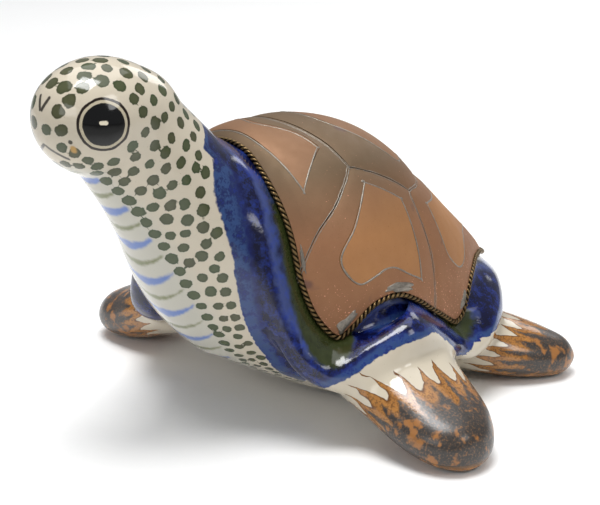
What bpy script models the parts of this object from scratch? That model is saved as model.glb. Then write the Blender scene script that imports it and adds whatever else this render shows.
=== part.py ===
"""A glazed stoneware sea turtle with a soldered copper shell.

The turtle faces -Y and stands on the plane z = 0. It is one hollow fired casting, five copper
plates with a brighter copper inlay in each, a wire rope round their edge, and eight dabs of solder.

Dimensions are in millimetres, in a frame whose y = 0 is at the front flippers. The empty "turtle"
carries every piece into the object's own frame, which has its origin under the middle of the box.
"""

import bmesh
import bpy
import numpy as np

MM = 0.001
FRAME_SHIFT = 11.0  # along y, from the modelling frame to the middle of the finished object's box

WALL = 6.0  # thickness of the fired clay
VENT_RADIUS = 4.5  # the hole in the belly that lets steam out in the kiln
VENT_Y = 44.0
CLAY_VOXEL = 3.0  # how finely the clay volumes are blended
CLAY_KEPT = 0.07  # share of the blended triangles that is kept

PLATE_UNDER = 0.8  # underside and face of the copper plates, above the dome
PLATE_FACE = 1.8
SEAT = -0.8  # the clay under the shell, against the dome
SEAT_TOP = 14.0  # how far up the clay is left out
SEAT_MARGIN = 1.2  # the clay left out beyond the rope
SOLDER_CLEARANCE = 0.3  # between a dab of solder and the plate under it
EDGE_GAP = 0.5  # between a plate and the rope
HALF_SEAM = 0.2  # half the gap between two plates, in degrees of the shell's angles
SHEET_GRID = (58, 9)  # how finely the copper is drawn, round its rim and from the rim to the top
SEAT_GRID = (100, 5)
OFF_CENTRE = 0.37  # of a step, so that no point of a sheet lies on a cutter's centre line
WEDGE_REACH = (8.0, 260.0)  # from the shell's centre, well inside and well outside the sheet
ROPE_RADIUS = 1.0
ROPE_LIFT = 1.6  # middle of the rope, above the dome
SOLDER_HEIGHT = 1.0

# Trunk stations: y, half width, top, bottom, height of the widest point.
TRUNK = (
    (-50, 26, 92, 27, 60),
    (-38, 42, 111, 20, 54),
    (-22, 53, 116, 11, 48),
    (0, 57.5, 115, 0.5, 44),
    (22, 57, 107.5, -2, 40),
    (45, 52, 91, -2, 36),
    (66, 42, 70, -2, 32),
    (84, 30, 53, 1, 31),
    (93, 20, 44, 5, 30),
    (99, 10, 37, 12, 29),
    (102, 1, 30, 26, 28),
)
UPPER_POWER = 2.05  # superellipse powers of a station above and below its widest point
LOWER_POWER = 2.6

# Neck stations along the middle of the neck: y, z, reach to the throat, reach to the nape, half width.
NECK = (
    (-98, 131, 18.5, 19, 20.5),
    (-89, 120, 20.5, 24.5, 22),
    (-77, 106, 22.5, 27, 24.5),
    (-66.5, 92, 24.5, 29, 29),
    (-56, 78, 28.5, 30, 35),
    (-44, 64, 31.5, 32, 42),
    (-30, 52, 33, 32, 46),
)
THROAT_POWER = 1.75  # below 2, so the throat comes to a soft keel
HEAD_CENTRE = (0, -97.5, 129.3)
HEAD_RADII = (22, 27, 21.8)

# Collar roll round the shell, left half from the nape to the tail: x, y, z, radius.
COLLAR = (
    (0, -48, 106, 8.5),
    (10, -49, 103, 8.5),
    (19, -49, 96, 8.5),
    (27, -48, 85, 9),
    (33, -46.5, 73, 9.5),
    (38, -44.5, 60, 10),
    (43, -42, 48, 11),
    (49, -37, 36, 11.5),
    (57, -28, 31, 10),
    (64, -17, 37, 8.5),
    (68, -6, 43, 8),
    (68, 7, 43, 8),
    (64, 22, 34, 8.5),
    (60, 34, 26, 9),
    (56, 47, 28, 9),
    (48, 60, 33, 8.5),
    (37, 72, 35, 8.5),
    (21, 87, 31, 8.5),
    (0, 94, 28, 9),
)

# Flippers, left side, from the root to the tip: x, y, z, half width, half thickness.
FRONT_FLIPPER = (
    (36, -4, 28, 24, 17),
    (54, -6, 26, 26, 16),
    (70, -8, 20, 24, 14),
    (84, -10, 14, 22, 13),
    (95, -12, 10.5, 19, 11.5),
    (102, -12.5, 9, 15, 10),
    (107, -12.5, 8.5, 9.5, 7.5),
    (109.5, -12.5, 8.5, 1.5, 1.5),
)
REAR_FLIPPER = (
    (22, 44, 19, 22, 14),
    (34, 57, 17, 22, 14),
    (46, 67, 13.5, 21, 13),
    (56, 76, 10.5, 18.5, 11.5),
    (64, 83, 8.5, 14.5, 9.5),
    (70, 88, 7.5, 9.5, 7),
    (73.5, 91, 7.2, 1.5, 1.5),
)

# The shell is drawn on the dome in two angles seen from SHELL_CENTRE, in degrees: the bearing,
# 0 to the front and 90 to the left, and the fall, 0 straight up and 90 level.
SHELL_CENTRE = np.array((0.0, 24.0, 48.0))
RIM = (
    (0, 45), (10, 46.5), (18, 51), (26, 59), (30, 67), (33, 78), (37, 88), (43, 95), (48, 92),
    (54, 86.5), (60, 84.5), (66, 85), (73, 88.5), (81, 94), (90, 100), (97, 104), (103, 102.5),
    (108, 96), (113, 91), (120, 88), (131, 87), (143, 89), (160, 94.5), (180, 98),
)  # fmt: skip
FRONT_SEAM = ((0, 29.5), (14, 30), (27, 32), (37, 35), (48, 42))
SIDE_SEAM = ((48, 42), (83, 47))
REAR_SEAM = ((83, 47), (101, 43), (125, 38), (150, 34), (180, 32.5))
SHOULDER_SEAM = ((48, 42), (46, 48), (42, 57), (37, 65), (32.6, 76), (30, 84))
HIP_SEAM = ((83, 47), (82, 51), (83, 63), (84, 76), (83.2, 95.6), (83, 105))

# Where each outer plate is cut, well past the rim, so that the rim itself is its edge.
NAPE_EDGE = ((20, 70), (0, 60))
FLANK_EDGE = ((70, 108), (45, 112), (36, 104))
TAIL_EDGE = ((100, 122), (125, 115), (150, 115), (180, 115))

# Inlay outlines in the same angles, left half or whole.
CROWN_INLAY = ((0, 19.5), (15, 20), (42, 22), (86, 32), (104, 29), (130, 24), (180, 20))
NAPE_INLAY = ((0, 35.5), (22, 34.5), (34, 38), (33, 46), (32, 54), (25, 48.5), (16, 44.5), (0, 41.5))
TAIL_INLAY = (
    (180, 42), (130, 46), (110, 51), (94, 53), (94, 63), (95, 74), (99, 80), (104, 83),
    (110, 81.5), (119, 76), (131, 74), (143, 76), (160, 81), (180, 84),
)  # fmt: skip
FLANK_INLAY = (
    (54, 47), (72, 51), (74, 60), (75, 71), (75, 81), (69, 78), (63, 75), (59, 75), (55, 77),
    (50, 79), (46, 76), (44, 71), (48, 63), (51, 55),
)  # fmt: skip

# Solder dabs beside the rope, left side: name, bearing, how far up from the rim, length, width.
SOLDER = (
    ("shoulder", 31.5, 3.6, 9, 2.6),
    ("chest", 46.5, 3.6, 10, 4.0),
    ("flank", 64, 3.6, 11, 3.4),
    ("hip", 106, 3.6, 9, 3.2),
)


def curve(points, at, closed=False):
    """A Catmull-Rom curve through the rows of points, read at the places at, which run from 0 to 1."""
    rows = np.asarray(points, float)
    if closed:
        spans = len(rows)
        rows = np.vstack([rows[-1], rows, rows[:2]])
        at = np.asarray(at, float) % 1
    else:
        spans = len(rows) - 1
        rows = np.vstack([2 * rows[0] - rows[1], rows, 2 * rows[-1] - rows[-2]])
    at = np.asarray(at, float) * spans
    start = np.minimum(at.astype(int), spans - 1)
    t = (at - start)[..., None]
    a, b, c, d = rows[start], rows[start + 1], rows[start + 2], rows[start + 3]
    return 0.5 * (2 * b + (c - a) * t + (2 * a - 5 * b + 4 * c - d) * t**2 + (3 * b - a - 3 * c + d) * t**3)


def smooth_path(points, count, closed=False):
    """The curve through points, read at count even places."""
    return curve(points, np.linspace(0, 1, count, endpoint=not closed), closed)


def mirrored(half):
    """A left half that starts and ends on the centre line, closed with its right half."""
    half = np.asarray(half, float)
    other = half[-2:0:-1].copy()
    other[:, 0] *= -1
    return np.vstack([half, other])


def unit(vectors):
    return vectors / np.linalg.norm(vectors, axis=-1, keepdims=True)


def signed_power(values, power):
    return np.sign(values) * np.abs(values) ** power


def loft(rings, closed=False):
    """Vertices and faces that join rings of points in order, with flat caps unless the path closes."""
    count, around = rings.shape[:2]
    grid = np.arange(count * around).reshape(count, around)
    if closed:
        grid = np.vstack([grid, grid[:1]])
    ahead = np.roll(grid, -1, axis=1)
    quads = np.stack([grid[:-1], ahead[:-1], ahead[1:], grid[1:]], -1).reshape(-1, 4)
    faces = [tuple(quad) for quad in quads.tolist()]
    if not closed:
        faces += [tuple(grid[0, ::-1].tolist()), tuple(grid[-1].tolist())]
    return rings.reshape(-1, 3), faces


def turtle_frame():
    """The empty that every piece hangs from."""
    empty = bpy.data.objects.new("turtle", None)
    empty.location.y = FRAME_SHIFT * MM
    bpy.context.scene.collection.objects.link(empty)
    return empty


def finish_material(name, colour, roughness, metallic=0.0):
    """A Principled material of one colour, given as linear red, green and blue."""
    material = bpy.data.materials.new(name)
    material.use_nodes = True
    shader = material.node_tree.nodes["Principled BSDF"]
    shader.inputs["Base Color"].default_value = (*colour, 1)
    shader.inputs["Roughness"].default_value = roughness
    shader.inputs["Metallic"].default_value = metallic
    return material


def add_piece(name, shapes, material=None):
    """One object from one or more closed (vertices, faces) shapes, with all faces turned outwards."""
    mesh = bmesh.new()
    for vertices, faces in shapes:
        corners = [mesh.verts.new(point * MM) for point in vertices]
        for face in faces:
            mesh.faces.new([corners[index] for index in face])
    bmesh.ops.recalc_face_normals(mesh, faces=mesh.faces)
    data = bpy.data.meshes.new(name)
    mesh.to_mesh(data)
    mesh.free()
    data.shade_smooth()
    data.set_sharp_from_angle(angle=0.8)
    piece = bpy.data.objects.new(name, data)
    piece.parent = TURTLE
    bpy.context.scene.collection.objects.link(piece)
    if material:
        data.materials.append(material)
    return piece


def trunk_shape(inset):
    """The egg of the body: superelliptic stations, drawn in by inset all round."""
    stations = smooth_path(TRUNK, 36)
    stations = stations[(stations[:, 0] >= TRUNK[0][0] + inset) & (stations[:, 0] <= TRUNK[-1][0] - inset)]
    y, width, top, bottom, middle = stations.T[:, :, None]
    angle = np.linspace(0, 2 * np.pi, 40, endpoint=False)
    power = np.where(np.sin(angle) > 0, 2 / UPPER_POWER, 2 / LOWER_POWER)
    height = np.where(np.sin(angle) > 0, top - middle, middle - bottom) - inset
    x = (width - inset) * signed_power(np.cos(angle), power)
    z = middle + height * signed_power(np.sin(angle), power)
    return loft(np.stack([x, y + 0 * angle, z], -1))


def neck_shape(inset):
    """The neck: stations square to its middle line, round at the nape and keeled at the throat."""
    y, z, throat, nape, width = smooth_path(NECK, 30).T[:, :, None]
    along_y, along_z = np.gradient(y[:, 0])[:, None], np.gradient(z[:, 0])[:, None]
    length = np.hypot(along_y, along_z)
    angle = np.linspace(0, 2 * np.pi, 36, endpoint=False)
    power = np.where(np.sin(angle) > 0, 2 / THROAT_POWER, 1.0)
    reach = np.where(np.sin(angle) > 0, throat, nape) - inset
    across = reach * signed_power(np.sin(angle), power)
    x = (width - inset) * signed_power(np.cos(angle), power)
    return loft(np.stack([x, y + across * along_z / length, z - across * along_y / length], -1))


def head_shape(inset):
    """An egg, as rings round the line of sight."""
    rise = np.linspace(0.12, np.pi - 0.12, 20)[:, None]
    angle = np.linspace(0, 2 * np.pi, 32, endpoint=False)
    egg = np.stack([np.sin(rise) * np.cos(angle), -np.cos(rise) + 0 * angle, np.sin(rise) * np.sin(angle)], -1)
    return loft(egg * (np.array(HEAD_RADII) - inset) + np.array(HEAD_CENTRE))


def tube_rings(path, radius, around, closed):
    """Circles square to a path."""
    ahead = np.roll(path, -1, 0) - np.roll(path, 1, 0) if closed else np.gradient(path, axis=0)
    side = unit(np.cross(unit(ahead), (0.0, 0.0, 1.0)))
    over = np.cross(side, unit(ahead))
    angle = np.linspace(0, 2 * np.pi, around, endpoint=False)[:, None]
    radius = np.broadcast_to(radius, len(path))[:, None, None]
    return path[:, None] + radius * (np.cos(angle) * side[:, None] + np.sin(angle) * over[:, None])


def collar_shape():
    rows = smooth_path(mirrored(COLLAR), 110, closed=True)
    return loft(tube_rings(rows[:, :3], rows[:, 3], 18, closed=True), closed=True)


def flipper_shape(stations, side):
    """A paddle with elliptic stations that stand square to its middle line; side is 1 left, -1 right."""
    rows = smooth_path(stations, 16)
    path = rows[:, :3] * (side, 1, 1)
    across = unit(np.cross(np.gradient(path, axis=0), (0.0, 0.0, 1.0)))
    over = np.cross(across, unit(np.gradient(path, axis=0)))
    angle = np.linspace(0, 2 * np.pi, 24, endpoint=False)[:, None]
    wide = rows[:, 3][:, None, None] * np.cos(angle) * across[:, None]
    thick = rows[:, 4][:, None, None] * np.sin(angle) * over[:, None]
    return loft(path[:, None] + wide + thick)


def dome_level(points):
    """Below 0 inside the trunk's outer surface and above 0 outside it."""
    stations = smooth_path(TRUNK, 400)
    width, top, bottom, middle = (
        np.interp(points[..., 1], stations[:, 0], stations[:, column]) for column in (1, 2, 3, 4)
    )
    above = points[..., 2] > middle
    height = np.where(above, top - middle, middle - bottom)
    power = np.where(above, UPPER_POWER, LOWER_POWER)
    flat = np.abs(points[..., 0]) / width
    return flat**power + (np.abs(points[..., 2] - middle) / height) ** power - 1


def on_dome(bearing, fall, lift):
    """Points on the dome in the shell's two angles, raised by lift along the dome's normal."""
    bearing, fall = np.radians(bearing), np.radians(fall)
    ray = np.stack([np.sin(fall) * np.sin(bearing), -np.sin(fall) * np.cos(bearing), np.cos(fall)], -1)
    near, far = np.zeros(ray.shape[:-1]), np.full(ray.shape[:-1], 110.0)
    for _ in range(30):
        middle = (near + far) / 2
        inside = dome_level(SHELL_CENTRE + middle[..., None] * ray) < 0
        near, far = np.where(inside, middle, near), np.where(inside, far, middle)
    points = SHELL_CENTRE + near[..., None] * ray
    steps = 0.4 * np.eye(3)
    slope = np.stack([dome_level(points + step) - dome_level(points - step) for step in steps], -1)
    return points + np.asarray(lift)[..., None] * unit(slope)


def to_angles(points):
    """The bearing and fall of points, in degrees."""
    ray = unit(points - SHELL_CENTRE)
    return np.degrees(np.arctan2(ray[..., 0], -ray[..., 1])), np.degrees(np.arccos(ray[..., 2]))


def to_plan(angles):
    """The shell's angles as a flat map: the fall is the distance from the top, the bearing turns."""
    bearing, fall = np.radians(np.asarray(angles, float)[..., 0]), np.asarray(angles, float)[..., 1]
    return np.stack([fall * np.sin(bearing), fall * np.cos(bearing)], -1)


def from_plan(plan):
    return np.degrees(np.arctan2(plan[..., 0], plan[..., 1])), np.hypot(plan[..., 0], plan[..., 1])


def rim_points(at, inward, lift):
    """Points beside the rim: at runs from 0 to 1 round the loop, inward is across the dome's surface."""
    loop = mirrored(to_plan(RIM))
    step = 0.002
    line, before, after, raised = (
        on_dome(*from_plan(curve(loop, at + shift, closed=True)), height)
        for shift, height in ((0, 0.0), (-step, 0.0), (step, 0.0), (0, 1.0))
    )
    sideways = unit(np.cross(raised - line, after - before))
    towards_top = np.sign(np.sum(sideways * (on_dome(0.0, 0.0, 0.0) - line), axis=-1, keepdims=True))
    inward = np.asarray(inward, float)[..., None]
    return on_dome(*to_angles(line + inward * towards_top * sideways), lift)


def rim_place(bearing):
    """Where on the loop the rim has a bearing on the left side."""
    at = np.linspace(0, 0.5, 400)
    return np.interp(bearing, from_plan(curve(mirrored(to_plan(RIM)), at, closed=True))[0], at)


def domed(rings, first_tip, last_tip):
    """A loft whose two ends close in a point each."""
    vertices, faces = loft(rings)
    around = rings.shape[1]
    top, low = len(vertices), len(vertices) + 1
    last = (len(rings) - 1) * around
    steps = [(step, (step + 1) % around) for step in range(around)]
    faces = faces[:-2] + [(top, ahead, step) for step, ahead in steps]
    faces += [(low, last + step, last + ahead) for step, ahead in steps]
    return np.vstack([vertices, first_tip, last_tip]), faces


def whole(half):
    """A left half outline in the shell's angles, as a closed outline on the flat map."""
    return mirrored(to_plan(half))


def lid_shape(inward, under, over, grid):
    """The whole shell as one sheet between two heights over the dome, out to a distance from the rim."""
    around, rows = grid
    at = (np.arange(around) + OFF_CENTRE) / around
    edge = to_plan(np.stack(to_angles(rim_points(at, inward, 0.0)), -1))
    plan = edge * np.linspace(1 / rows, 1, rows)[:, None, None]
    low, high = (on_dome(*from_plan(plan), lift) for lift in (under, over))
    tips = on_dome(np.zeros(2), np.zeros(2), np.array((under, over)))
    return domed(np.concatenate([low, high[::-1]]), *tips)


def wedge_shape(outline, centre, gap):
    """Everything outwards of an outline as seen from the shell's centre, with the outline moved in by gap."""
    sides = unit(np.roll(outline, -1, 0) - outline)
    across = np.stack([-sides[:, 1], sides[:, 0]], -1)
    across *= np.sign(np.sum(across * (centre - outline), axis=1).sum())
    corner = unit(across + np.roll(across, 1, 0))
    moved = outline + corner * gap / np.maximum(np.sum(corner * across, axis=1), 0.5)[:, None]
    rays, middle = (on_dome(*from_plan(np.asarray(plan, float)), 0.0) - SHELL_CENTRE for plan in (moved, centre))
    rings = SHELL_CENTRE + unit(rays) * np.array(WEDGE_REACH)[:, None, None]
    return domed(rings, *(SHELL_CENTRE + unit(middle) * np.array(WEDGE_REACH)[:, None]))


def make_shell():
    """Five plates soldered edge to edge, each with an opening that its inlay fills."""
    shoulder, hip = to_plan(SHOULDER_SEAM), to_plan(HIP_SEAM)
    crown = np.vstack([to_plan(seam)[:-1] for seam in (FRONT_SEAM, SIDE_SEAM)] + [to_plan(REAR_SEAM)])
    nape = np.vstack([to_plan(FRONT_SEAM)[:-1], shoulder, to_plan(NAPE_EDGE)])
    tail = np.vstack([to_plan(REAR_SEAM)[:0:-1], hip, to_plan(TAIL_EDGE)])
    flank = np.vstack([shoulder[::-1], hip, to_plan(FLANK_EDGE)])
    scutes = (
        ("crown", (0, 2), mirrored(crown), whole(CROWN_INLAY)),
        ("nape", (0, 38), mirrored(nape), whole(NAPE_INLAY)),
        ("left_flank", (59, 29), flank, to_plan(FLANK_INLAY)),
        ("right_flank", (-59, 29), flank * (-1, 1), to_plan(FLANK_INLAY) * (-1, 1)),
        ("tail", (0, -55), mirrored(tail), whole(TAIL_INLAY)),
    )
    sheet = lid_shape(ROPE_RADIUS + EDGE_GAP, PLATE_UNDER, PLATE_FACE, SHEET_GRID)
    for name, centre, outline, opening in scutes:
        plate = add_piece(f"{name}_plate", [sheet], DULL_COPPER)
        cut(plate, "outline", add_piece(f"{name}_outline", [wedge_shape(outline, centre, HALF_SEAM)]), "INTERSECT")
        cut(plate, "opening", add_piece(f"{name}_opening", [wedge_shape(opening, centre, -HALF_SEAM)]))
        inlay = add_piece(f"{name}_inlay", [sheet], BRIGHT_COPPER)
        cut(inlay, "outline", add_piece(f"{name}_punch", [wedge_shape(opening, centre, HALF_SEAM)]), "INTERSECT")


def make_rope():
    at = np.linspace(0, 1, 120, endpoint=False)
    path = rim_points(at, 0.0, ROPE_LIFT)
    add_piece("rope_edging", [loft(tube_rings(path, ROPE_RADIUS, 6, closed=True), closed=True)], WIRE)


def make_solder():
    """Low oval dabs that lie on the plates beside the rope."""
    around = np.linspace(0, 2 * np.pi, 12, endpoint=False)
    share, rise = np.array((1, 1, 0.62))[:, None], np.array((0, 0.4, 0.85))[:, None]
    base = PLATE_FACE + SOLDER_CLEARANCE
    for name, bearing, inward, length, width in SOLDER:
        at = rim_place(bearing)
        nearby = rim_points(at + np.array((-0.002, 0.002)), inward, base)
        per_millimetre = 0.004 / np.linalg.norm(nearby[1] - nearby[0])
        for side, turn in (("left", 1), ("right", -1)):
            along = turn * (at + share * np.cos(around) * length / 2 * per_millimetre)
            rings = rim_points(along, inward + share * np.sin(around) * width / 2, base + SOLDER_HEIGHT * rise)
            tips = (rim_points(turn * at, inward, lift) for lift in (base, base + SOLDER_HEIGHT))
            add_piece(f"solder_{name}_{side}", [domed(rings, *tips)], SOLDER_GREY)


def cut(piece, name, cutter, operation="DIFFERENCE"):
    """Takes a closed helper away from a piece, or keeps what is inside it, with a Boolean that stays live."""
    cutter.hide_render = True
    cutter.display_type = "WIRE"
    modifier = piece.modifiers.new(name, "BOOLEAN")
    modifier.operation = operation
    modifier.object = cutter


def blend(piece, voxel, smoothing, kept):
    """Runs the overlapping volumes of a piece into one skin, as wet clay is."""
    remesh = piece.modifiers.new("run together", "REMESH")
    remesh.mode = "VOXEL"
    remesh.voxel_size = voxel * MM
    smooth = piece.modifiers.new("sponge", "SMOOTH")
    smooth.iterations = smoothing
    smooth.factor = 0.5
    thin = piece.modifiers.new("thin out", "DECIMATE")
    thin.ratio = kept


def make_clay():
    """Head, neck, trunk, collar roll and flippers, hollow, with a vent and a flat foot."""
    flippers = [flipper_shape(shape, side) for shape in (FRONT_FLIPPER, REAR_FLIPPER) for side in (1, -1)]
    clay = add_piece(
        "ceramic_body", [trunk_shape(0), neck_shape(0), head_shape(0), collar_shape(), *flippers], GLAZE
    )
    blend(clay, CLAY_VOXEL, 2, CLAY_KEPT)
    hollow = add_piece("hollow", [trunk_shape(WALL), neck_shape(WALL), head_shape(WALL)])
    blend(hollow, 1.5 * CLAY_VOXEL, 3, 2 * CLAY_KEPT)
    cut(clay, "hollow", hollow)
    angle = np.linspace(0, 2 * np.pi, 20, endpoint=False)
    circle = np.stack([VENT_RADIUS * np.cos(angle), VENT_Y + VENT_RADIUS * np.sin(angle), 0 * angle], -1)
    cut(clay, "vent", add_piece("vent_hole", [loft(np.stack([circle + (0, 0, z) for z in (-20, 20)]))]))
    slab = np.array([(-150, -150, 0), (150, -150, 0), (150, 150, 0), (-150, 150, 0)], float)
    cut(clay, "foot", add_piece("ground", [loft(np.stack([slab - (0, 0, 40), slab]))]))
    cut(clay, "seat", add_piece("shell_seat", [lid_shape(-ROPE_RADIUS - SEAT_MARGIN, SEAT, SEAT_TOP, SEAT_GRID)]))


for item in list(bpy.data.objects):
    bpy.data.objects.remove(item)
TURTLE = turtle_frame()
GLAZE = finish_material("glazed stoneware", (0.62, 0.56, 0.46), 0.12)
DULL_COPPER = finish_material("browned copper", (0.27, 0.15, 0.09), 0.45, 1.0)
BRIGHT_COPPER = finish_material("rubbed copper", (0.45, 0.22, 0.10), 0.38, 1.0)
WIRE = finish_material("antiqued brass wire", (0.21, 0.15, 0.07), 0.4, 1.0)
SOLDER_GREY = finish_material("tin solder", (0.42, 0.40, 0.38), 0.5, 1.0)
make_clay()
make_shell()
make_rope()
make_solder()
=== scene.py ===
"""A glazed stoneware sea turtle with a soldered copper shell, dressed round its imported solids.

Tables are in millimetres and degrees, in a frame whose y = 0 is at the front flippers; CENTRE carries
them into the object's own frame. The turtle faces -Y and its left side is +X.
"""

import bpy
import numpy as np
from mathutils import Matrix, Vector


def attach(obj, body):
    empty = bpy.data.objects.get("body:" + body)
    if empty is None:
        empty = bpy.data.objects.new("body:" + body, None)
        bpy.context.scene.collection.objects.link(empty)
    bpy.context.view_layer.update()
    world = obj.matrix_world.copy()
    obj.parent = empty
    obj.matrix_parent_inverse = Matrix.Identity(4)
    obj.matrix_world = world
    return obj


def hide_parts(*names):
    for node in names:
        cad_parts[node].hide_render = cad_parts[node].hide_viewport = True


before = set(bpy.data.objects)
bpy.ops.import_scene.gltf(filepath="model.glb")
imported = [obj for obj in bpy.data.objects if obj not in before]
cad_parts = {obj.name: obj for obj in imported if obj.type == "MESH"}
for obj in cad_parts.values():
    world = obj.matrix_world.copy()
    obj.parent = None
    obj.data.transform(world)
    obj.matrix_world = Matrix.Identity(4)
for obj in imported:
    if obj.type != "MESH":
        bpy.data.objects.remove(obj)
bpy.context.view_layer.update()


# ---- The casting --------------------------------------------------------------------------------
# One hollow casting of stoneware: an egg for the trunk, a keeled neck, an egg for the head, a thick
# roll laid round the shell and four paddles, all luted on and sponged into one skin while wet. Its
# colours are brushed on before one clear glaze, and the paddles are dipped in iron glaze.

MM = 0.001
CENTRE = np.array((0.0, 11.0, 0.0))
CLAY_VOXEL = 1.3
SPONGING = 18  # passes that soften the joints between the clay volumes

# Trunk stations: y, half width, top, bottom, height of the widest point.
TRUNK = (
    (-50, 26, 92, 27, 60), (-38, 42, 111, 20, 54), (-22, 53, 116, 11, 48), (0, 57.5, 115, 0.5, 44),
    (22, 57, 107.5, -2, 40), (45, 52, 91, -2, 36), (66, 42, 70, -2, 32), (84, 30, 53, 1, 31),
    (93, 20, 44, 5, 30), (99, 10, 37, 12, 29), (102, 1, 30, 26, 28),
)
UPPER_POWER = 2.05
LOWER_POWER = 2.6

# Neck stations along its middle line: y, z, reach to the throat, reach to the nape, half width.
NECK = (
    (-98, 131, 18.5, 19, 20.5), (-89, 120, 20.5, 24.5, 22), (-77, 106, 22.5, 27, 24.5),
    (-66.5, 92, 24.5, 29, 29), (-56, 78, 28.5, 30, 35), (-44, 64, 31.5, 32, 42), (-30, 52, 33, 32, 46),
)
THROAT_POWER = 1.75
# Head and the pad at its back: middle, radii and how far the front is tipped up, in degrees.
HEAD = ((0, -97.3, 129.4), (22, 26.8, 22), 9)
NAPE_PAD = ((0, -84, 128.6), (19.5, 17.2, 17.6), 0)

# Roll round the shell, left half from the nape to the tail: x, y, z, radius.
ROLL = (
    (0, -48, 106, 8.5), (10, -49, 103, 8.5), (19, -49, 96, 8.5), (27, -48, 85, 9), (33, -46.5, 73, 9.5),
    (38, -44.5, 60, 10), (43, -42, 48, 11), (49, -37, 36, 11.5), (57, -28, 31, 10), (64, -17, 37, 8.5),
    (68, -6, 43, 8), (68, 7, 43, 8), (64, 22, 34, 8.5), (60, 34, 26, 9), (56, 47, 28, 9),
    (48, 60, 33, 8.5), (37, 72, 35, 8.5), (21, 87, 31, 8.5), (0, 93.8, 28, 8.9),
)

# Paddles, left side, root to tip: x, y, z, half width, half thickness.
FRONT_PADDLE = (
    (36, -4, 28, 24, 17), (54, -6, 26, 26, 16), (70, -8, 20, 24, 14), (84, -10, 14, 22, 13),
    (95, -12, 10.5, 19, 11.5), (102, -12.5, 9, 15, 10), (107, -12.5, 8.5, 9.5, 7.5),
    (109.5, -12.5, 8.5, 1.5, 1.5),
)
REAR_PADDLE = (
    (22, 44, 19, 22, 14), (34, 57, 17, 22, 14), (46, 67, 13.5, 21, 13), (56, 76, 10.5, 18.5, 11.5),
    (64, 83, 8.5, 14.5, 9.5), (70, 88, 7.5, 9.5, 7), (73.5, 91, 7.2, 1.5, 1.5),
)

PADDLE_ROUND = 20.0  # mean radius, which turns an angle round a paddle into a distance

# The shell's rim in two angles seen from SHELL_CENTRE: the bearing, 0 to the front and 90 to the
# left, and the fall, 0 straight up and 90 level. The blue slip's outer edge is in the same angles.
SHELL_CENTRE = np.array((0.0, 24.0, 48.0))
SAG = ((0, 30, 30, 24, 2.6), (-40, -30, 32, 34, 2.8), (40, -30, 32, 34, 2.8))  # place, spread, depth
RIM = (
    (0, 45), (10, 46.5), (18, 51), (26, 59), (30, 67), (33, 78), (37, 88), (43, 95), (48, 92),
    (54, 86.5), (60, 84.5), (66, 85), (73, 88.5), (81, 94), (90, 100), (97, 104), (103, 102.5),
    (108, 96), (113, 91), (120, 88), (131, 87), (143, 89), (160, 94.5), (180, 98),
)
BLUE_EDGE = (
    (0, 48.5), (9.5, 49.7), (13, 53.4), (14.6, 57.5), (17, 64), (19.6, 73), (20.2, 83), (20.6, 98),
    (23.4, 114), (30, 119), (36, 111), (41, 105), (48, 100.6), (53, 97.6), (60, 94.8), (67.5, 94),
    (73, 95), (80, 101), (88, 110), (97, 109), (114, 106), (130, 104), (150, 107), (180, 110),
)

# The plain throat: how far it reaches from the keel, against the distance down the neck.
THROAT_EDGE = (
    (-14, -20), (-4, -6), (1, 3), (6, 7.5), (14, 7), (30, 10.6), (48, 12.9), (63, 16), (78, 18),
    (94, 16.7), (110, 12),
)
# The olive groove beside the rope: its width against the bearing.
GROOVE = (
    (0, 0.6), (20, 1.4), (28, 2.6), (33, 3.8), (38, 5.6), (43, 5.4), (48, 3.2), (54, 0), (76, 0),
    (86, 1.5), (96, 3.5), (104, 2.5), (120, 1.0), (180, 1.0),
)
EYE = np.array((18.7, -110.3, 131.5))
EYE_CLEAR = 12.4


def curve(points, at, closed=False):
    """A Catmull-Rom curve through the rows of points, read at the places at, which run from 0 to 1:
    each span is the cubic whose ends have the slope of the line between their neighbours."""
    rows = np.asarray(points, float)
    if closed:
        spans = len(rows)
        rows = np.vstack([rows[-1], rows, rows[:2]])
        at = np.asarray(at, float) % 1
    else:
        spans = len(rows) - 1
        rows = np.vstack([2 * rows[0] - rows[1], rows, 2 * rows[-1] - rows[-2]])
    at = np.asarray(at, float) * spans
    start = np.minimum(at.astype(int), spans - 1)
    t = (at - start)[..., None]
    a, b, c, d = rows[start], rows[start + 1], rows[start + 2], rows[start + 3]
    slope, bend, twist = c - a, 2 * a - 5 * b + 4 * c - d, 3 * b - a - 3 * c + d
    return 0.5 * (2 * b + slope * t + bend * t**2 + twist * t**3)


def flowing(points, count, closed=False):
    """A smooth line through some points, which keeps the corners that are given twice."""
    return curve(points, np.linspace(0, 1, count, endpoint=not closed), closed)


def lengths(line):
    """How far along a line each of its points lies."""
    return np.concatenate([[0], np.cumsum(np.linalg.norm(np.diff(line, axis=0), axis=1))])


def mirrored(half):
    """A left half that starts and ends on the centre line, closed with its right half."""
    half = np.asarray(half, float)
    return np.vstack([half, half[-2:0:-1] * ((-1,) + (1,) * (half.shape[1] - 1))])


def unit(vectors):
    """Vectors divided by their length."""
    return vectors / np.linalg.norm(vectors, axis=-1, keepdims=True)


def signed_power(values, power):
    """The power of each value's size, with the value's own sign."""
    return np.sign(values) * np.abs(values) ** power


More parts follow.
